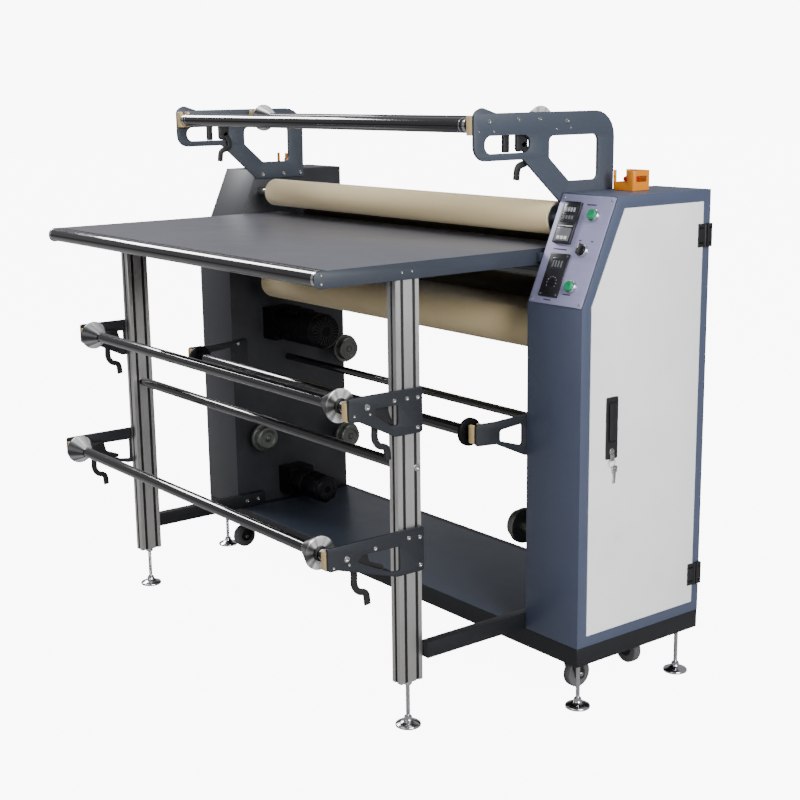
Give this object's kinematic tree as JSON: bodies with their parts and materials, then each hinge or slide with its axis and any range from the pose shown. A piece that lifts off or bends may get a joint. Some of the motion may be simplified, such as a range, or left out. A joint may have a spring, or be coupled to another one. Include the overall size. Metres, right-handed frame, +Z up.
{
  "type": "heat press",
  "caption": "Roll-to-roll heat press with two side cabinets, a heated drum wrapped by a felt blanket, a feed table on legs, bracketed shafts, emergency stops and a door.",
  "frame": {"origin": "on the floor under the middle of the bounding box", "axes": "+X towards the control side along the rollers, -Y towards the operator, +Z up"},
  "size_m": [1.7206, 1.044, 1.428],
  "materials": {
    "castor_black": "satin black",
    "wheel_grey": "matt grey tread",
    "plinth_paint": "satin near-black paint",
    "blue_grey_paint": "satin blue-grey paint with a fine orange peel",
    "bracket_paint": "satin dark grey paint",
    "white_paint": "smooth white paint",
    "panel_finish": "brushed lavender-silver film",
    "green_plastic": "glossy green",
    "black_plastic": "satin black",
    "yellow_plastic": "moulded yellow",
    "red_plastic": "glossy red",
    "felt": "needled cream felt",
    "black_steel": "glossy black coating",
    "turned_grey": "turned grey metal",
    "polished_steel": "turned and polished",
    "extruded_aluminium": "satin anodised",
    "table_laminate": "smooth grey sheet with dark skirts",
    "motor_black": "black ribbed casing"
  },
  "bodies": {
    "machine_frame": {"base_frame": "plinth_paint", "control_panel": "panel_finish", "drum_drive_motor": "motor_black", "e_stop_guard_left": "yellow_plastic", "e_stop_guard_right": "yellow_plastic", "feed_table": "table_laminate", "felt_blanket": "felt", "left_cabinet": "blue_grey_paint", "leg_left": "extruded_aluminium", "leg_right": "extruded_aluminium", "leg_tie_bar": "black_steel", "lower_bracket_left": "bracket_paint", "lower_bracket_right": "bracket_paint", "middle_bracket_left": "bracket_paint", "middle_bracket_right": "bracket_paint", "rear_bracket_left": "bracket_paint", "rear_bracket_right": "bracket_paint", "rear_guide_bar": "black_steel", "right_cabinet": "blue_grey_paint", "take_up_motor": "motor_black", "upper_bracket_left": "bracket_paint", "upper_bracket_right": "bracket_paint"},
    "right_door": {"right_door": "white_paint"},
    "door_handle": {"door_handle": "black_plastic"},
    "start_button": {"start_button": "green_plastic"},
    "feed_button": {"feed_button": "green_plastic"},
    "mode_selector": {"mode_selector": "black_plastic"},
    "e_stop_button_left": {"e_stop_button_left": "red_plastic"},
    "e_stop_button_right": {"e_stop_button_right": "red_plastic"},
    "heating_drum": {"heating_drum": "black_steel"},
    "upper_felt_roller": {"upper_felt_roller": "turned_grey"},
    "lower_felt_roller": {"lower_felt_roller": "turned_grey"},
    "rear_lower_felt_roller": {"rear_lower_felt_roller": "turned_grey"},
    "rear_upper_felt_roller": {"rear_upper_felt_roller": "turned_grey"},
    "upper_front_roller": {"upper_front_roller": "black_steel"},
    "upper_rear_shaft": {"upper_rear_shaft": "polished_steel"},
    "middle_shaft": {"middle_shaft": "polished_steel"},
    "lower_shaft": {"lower_shaft": "polished_steel"},
    "rear_shaft": {"rear_shaft": "black_steel"},
    "table_roller": {"table_roller": "black_steel"},
    "castor_fork_front_left": {"castor_fork_front_left": "castor_black"},
    "castor_fork_front_right": {"castor_fork_front_right": "castor_black"},
    "castor_fork_rear_left": {"castor_fork_rear_left": "castor_black"},
    "castor_fork_rear_right": {"castor_fork_rear_right": "castor_black"},
    "castor_wheel_front_left": {"castor_wheel_front_left": "wheel_grey"},
    "castor_wheel_front_right": {"castor_wheel_front_right": "wheel_grey"},
    "castor_wheel_rear_left": {"castor_wheel_rear_left": "wheel_grey"},
    "castor_wheel_rear_right": {"castor_wheel_rear_right": "wheel_grey"},
    "front_chuck_left": {"front_chuck_left": "turned_grey"},
    "front_chuck_right": {"front_chuck_right": "turned_grey"},
    "lower_chuck_left": {"lower_chuck_left": "turned_grey"},
    "lower_chuck_right": {"lower_chuck_right": "turned_grey"},
    "lower_lever_left": {"lower_lever_left": "black_plastic"},
    "lower_lever_right": {"lower_lever_right": "black_plastic"},
    "middle_lever_left": {"middle_lever_left": "black_plastic"},
    "middle_lever_right": {"middle_lever_right": "black_plastic"},
    "upper_chuck_left": {"upper_chuck_left": "turned_grey"},
    "upper_chuck_right": {"upper_chuck_right": "turned_grey"},
    "upper_lever_left": {"upper_lever_left": "black_plastic"},
    "upper_lever_right": {"upper_lever_right": "black_plastic"}
  },
  "joints": [
    {"name": "door_hinge", "type": "hinge", "parent": "machine_frame", "child": "right_door", "pos_m": [0.856, 0.48, 0.668], "axis": [0, 0, 1], "range_deg": [0, 110]},
    {"name": "door_handle_swing", "type": "hinge", "parent": "right_door", "child": "door_handle", "pos_m": [0.8578, 0.175, 0.754], "axis": [0, -1, 0], "range_deg": [0, 35]},
    {"name": "start_button_press", "type": "slide", "parent": "machine_frame", "child": "start_button", "axis": [0, 0.914, -0.4058], "range_m": [0, 0.004], "stiffness_N_per_m": 1500, "springref_m": -0.001},
    {"name": "feed_button_press", "type": "slide", "parent": "machine_frame", "child": "feed_button", "axis": [0, 0.914, -0.4058], "range_m": [0, 0.004], "stiffness_N_per_m": 1500, "springref_m": -0.001},
    {"name": "mode_selector_turn", "type": "hinge", "parent": "machine_frame", "child": "mode_selector", "pos_m": [0.7987, 0.12802, 1.10524], "axis": [0, -0.914, 0.4058], "range_deg": [-45, 45]},
    {"name": "e_stop_press_left", "type": "slide", "parent": "machine_frame", "child": "e_stop_button_left", "axis": [0, 0, -1], "range_m": [0, 0.005], "stiffness_N_per_m": 1500, "springref_m": -0.001},
    {"name": "e_stop_press_right", "type": "slide", "parent": "machine_frame", "child": "e_stop_button_right", "axis": [0, 0, -1], "range_m": [0, 0.005], "stiffness_N_per_m": 1500, "springref_m": -0.001},
    {"name": "drum_turn", "type": "hinge", "parent": "machine_frame", "child": "heating_drum", "pos_m": [-0.0043, 0.337, 1.033], "axis": [1, 0, 0], "continuous": true},
    {"name": "upper_felt_turn", "type": "hinge", "parent": "machine_frame", "child": "upper_felt_roller", "pos_m": [-0.0043, 0.197, 1.166], "axis": [1, 0, 0], "continuous": true},
    {"name": "lower_felt_turn", "type": "hinge", "parent": "machine_frame", "child": "lower_felt_roller", "pos_m": [-0.0043, 0.181, 0.895], "axis": [1, 0, 0], "continuous": true},
    {"name": "rear_lower_felt_turn", "type": "hinge", "parent": "machine_frame", "child": "rear_lower_felt_roller", "pos_m": [-0.0043, 0.459, 0.923], "axis": [1, 0, 0], "continuous": true},
    {"name": "rear_upper_felt_turn", "type": "hinge", "parent": "machine_frame", "child": "rear_upper_felt_roller", "pos_m": [-0.0043, 0.459, 1.143], "axis": [1, 0, 0], "continuous": true},
    {"name": "upper_front_roller_turn", "type": "hinge", "parent": "machine_frame", "child": "upper_front_roller", "pos_m": [-0.0043, -0.07, 1.389], "axis": [1, 0, 0], "continuous": true},
    {"name": "upper_rear_shaft_turn", "type": "hinge", "parent": "machine_frame", "child": "upper_rear_shaft", "pos_m": [-0.0043, 0.177, 1.389], "axis": [1, 0, 0], "continuous": true},
    {"name": "middle_shaft_turn", "type": "hinge", "parent": "machine_frame", "child": "middle_shaft", "pos_m": [-0.0043, -0.419, 0.792], "axis": [1, 0, 0], "continuous": true},
    {"name": "lower_shaft_turn", "type": "hinge", "parent": "machine_frame", "child": "lower_shaft", "pos_m": [-0.0043, -0.483, 0.466], "axis": [1, 0, 0], "continuous": true},
    {"name": "rear_shaft_turn", "type": "hinge", "parent": "machine_frame", "child": "rear_shaft", "pos_m": [-0.0043, -0.065, 0.681], "axis": [1, 0, 0], "continuous": true},
    {"name": "table_roller_turn", "type": "hinge", "parent": "machine_frame", "child": "table_roller", "pos_m": [-0.0043, -0.496, 1.083], "axis": [1, 0, 0], "continuous": true},
    {"name": "upper_lever_left_swing", "type": "hinge", "parent": "machine_frame", "child": "upper_lever_left", "pos_m": [-0.667, 0.069, 1.348], "axis": [-1, 0, 0], "range_deg": [-20, 20]},
    {"name": "middle_lever_left_swing", "type": "hinge", "parent": "machine_frame", "child": "middle_lever_left", "pos_m": [-0.6576, -0.387, 0.786], "axis": [-1, 0, 0], "range_deg": [-5, 20]},
    {"name": "lower_lever_left_swing", "type": "hinge", "parent": "machine_frame", "child": "lower_lever_left", "pos_m": [-0.6576, -0.451, 0.46], "axis": [-1, 0, 0], "range_deg": [-20, 20]},
    {"name": "upper_chuck_left_turn", "type": "hinge", "parent": "machine_frame", "child": "upper_chuck_left", "pos_m": [-0.6443, 0.477, 0.642], "axis": [1, 0, 0], "continuous": true},
    {"name": "front_chuck_left_turn", "type": "hinge", "parent": "machine_frame", "child": "front_chuck_left", "pos_m": [-0.6443, 0.157, 0.394], "axis": [1, 0, 0], "continuous": true},
    {"name": "lower_chuck_left_turn", "type": "hinge", "parent": "machine_frame", "child": "lower_chuck_left", "pos_m": [-0.6443, 0.477, 0.35], "axis": [1, 0, 0], "continuous": true},
    {"name": "castor_front_left_swivel", "type": "hinge", "parent": "machine_frame", "child": "castor_fork_front_left", "pos_m": [-0.7483, 0.161, 0.122], "axis": [0, 0, 1], "continuous": true},
    {"name": "castor_front_left_roll", "type": "hinge", "parent": "castor_fork_front_left", "child": "castor_wheel_front_left", "pos_m": [-0.7483, 0.135, 0.046], "axis": [-1, 0, 0], "continuous": true},
    {"name": "castor_rear_left_swivel", "type": "hinge", "parent": "machine_frame", "child": "castor_fork_rear_left", "pos_m": [-0.7483, 0.399, 0.122], "axis": [0, 0, 1], "continuous": true},
    {"name": "castor_rear_left_roll", "type": "hinge", "parent": "castor_fork_rear_left", "child": "castor_wheel_rear_left", "pos_m": [-0.7613, 0.42152, 0.046], "axis": [0.866, 0.5, 0], "continuous": true},
    {"name": "upper_lever_right_swing", "type": "hinge", "parent": "machine_frame", "child": "upper_lever_right", "pos_m": [0.6584, 0.069, 1.348], "axis": [-1, 0, 0], "range_deg": [-20, 20]},
    {"name": "middle_lever_right_swing", "type": "hinge", "parent": "machine_frame", "child": "middle_lever_right", "pos_m": [0.649, -0.387, 0.786], "axis": [-1, 0, 0], "range_deg": [-5, 20]},
    {"name": "lower_lever_right_swing", "type": "hinge", "parent": "machine_frame", "child": "lower_lever_right", "pos_m": [0.649, -0.451, 0.46], "axis": [-1, 0, 0], "range_deg": [-20, 20]},
    {"name": "upper_chuck_right_turn", "type": "hinge", "parent": "machine_frame", "child": "upper_chuck_right", "pos_m": [0.6357, 0.477, 0.642], "axis": [1, 0, 0], "continuous": true},
    {"name": "front_chuck_right_turn", "type": "hinge", "parent": "machine_frame", "child": "front_chuck_right", "pos_m": [0.6357, 0.157, 0.394], "axis": [1, 0, 0], "continuous": true},
    {"name": "lower_chuck_right_turn", "type": "hinge", "parent": "machine_frame", "child": "lower_chuck_right", "pos_m": [0.6357, 0.477, 0.35], "axis": [1, 0, 0], "continuous": true},
    {"name": "castor_front_right_swivel", "type": "hinge", "parent": "machine_frame", "child": "castor_fork_front_right", "pos_m": [0.7397, 0.161, 0.122], "axis": [0, 0, 1], "continuous": true},
    {"name": "castor_front_right_roll", "type": "hinge", "parent": "castor_fork_front_right", "child": "castor_wheel_front_right", "pos_m": [0.7397, 0.187, 0.046], "axis": [1, 0, 0], "continuous": true},
    {"name": "castor_rear_right_swivel", "type": "hinge", "parent": "machine_frame", "child": "castor_fork_rear_right", "pos_m": [0.7397, 0.399, 0.122], "axis": [0, 0, 1], "continuous": true},
    {"name": "castor_rear_right_roll", "type": "hinge", "parent": "castor_fork_rear_right", "child": "castor_wheel_rear_right", "pos_m": [0.7137, 0.399, 0.046], "axis": [0, 1, 0], "continuous": true}
  ],
  "couplings": [
    {"joint": "upper_felt_turn", "follows": "drum_turn", "ratio": -2.6},
    {"joint": "lower_felt_turn", "follows": "drum_turn", "ratio": -2.1429},
    {"joint": "rear_lower_felt_turn", "follows": "drum_turn", "ratio": -3.6793},
    {"joint": "rear_upper_felt_turn", "follows": "drum_turn", "ratio": -3.6793}
  ]
}
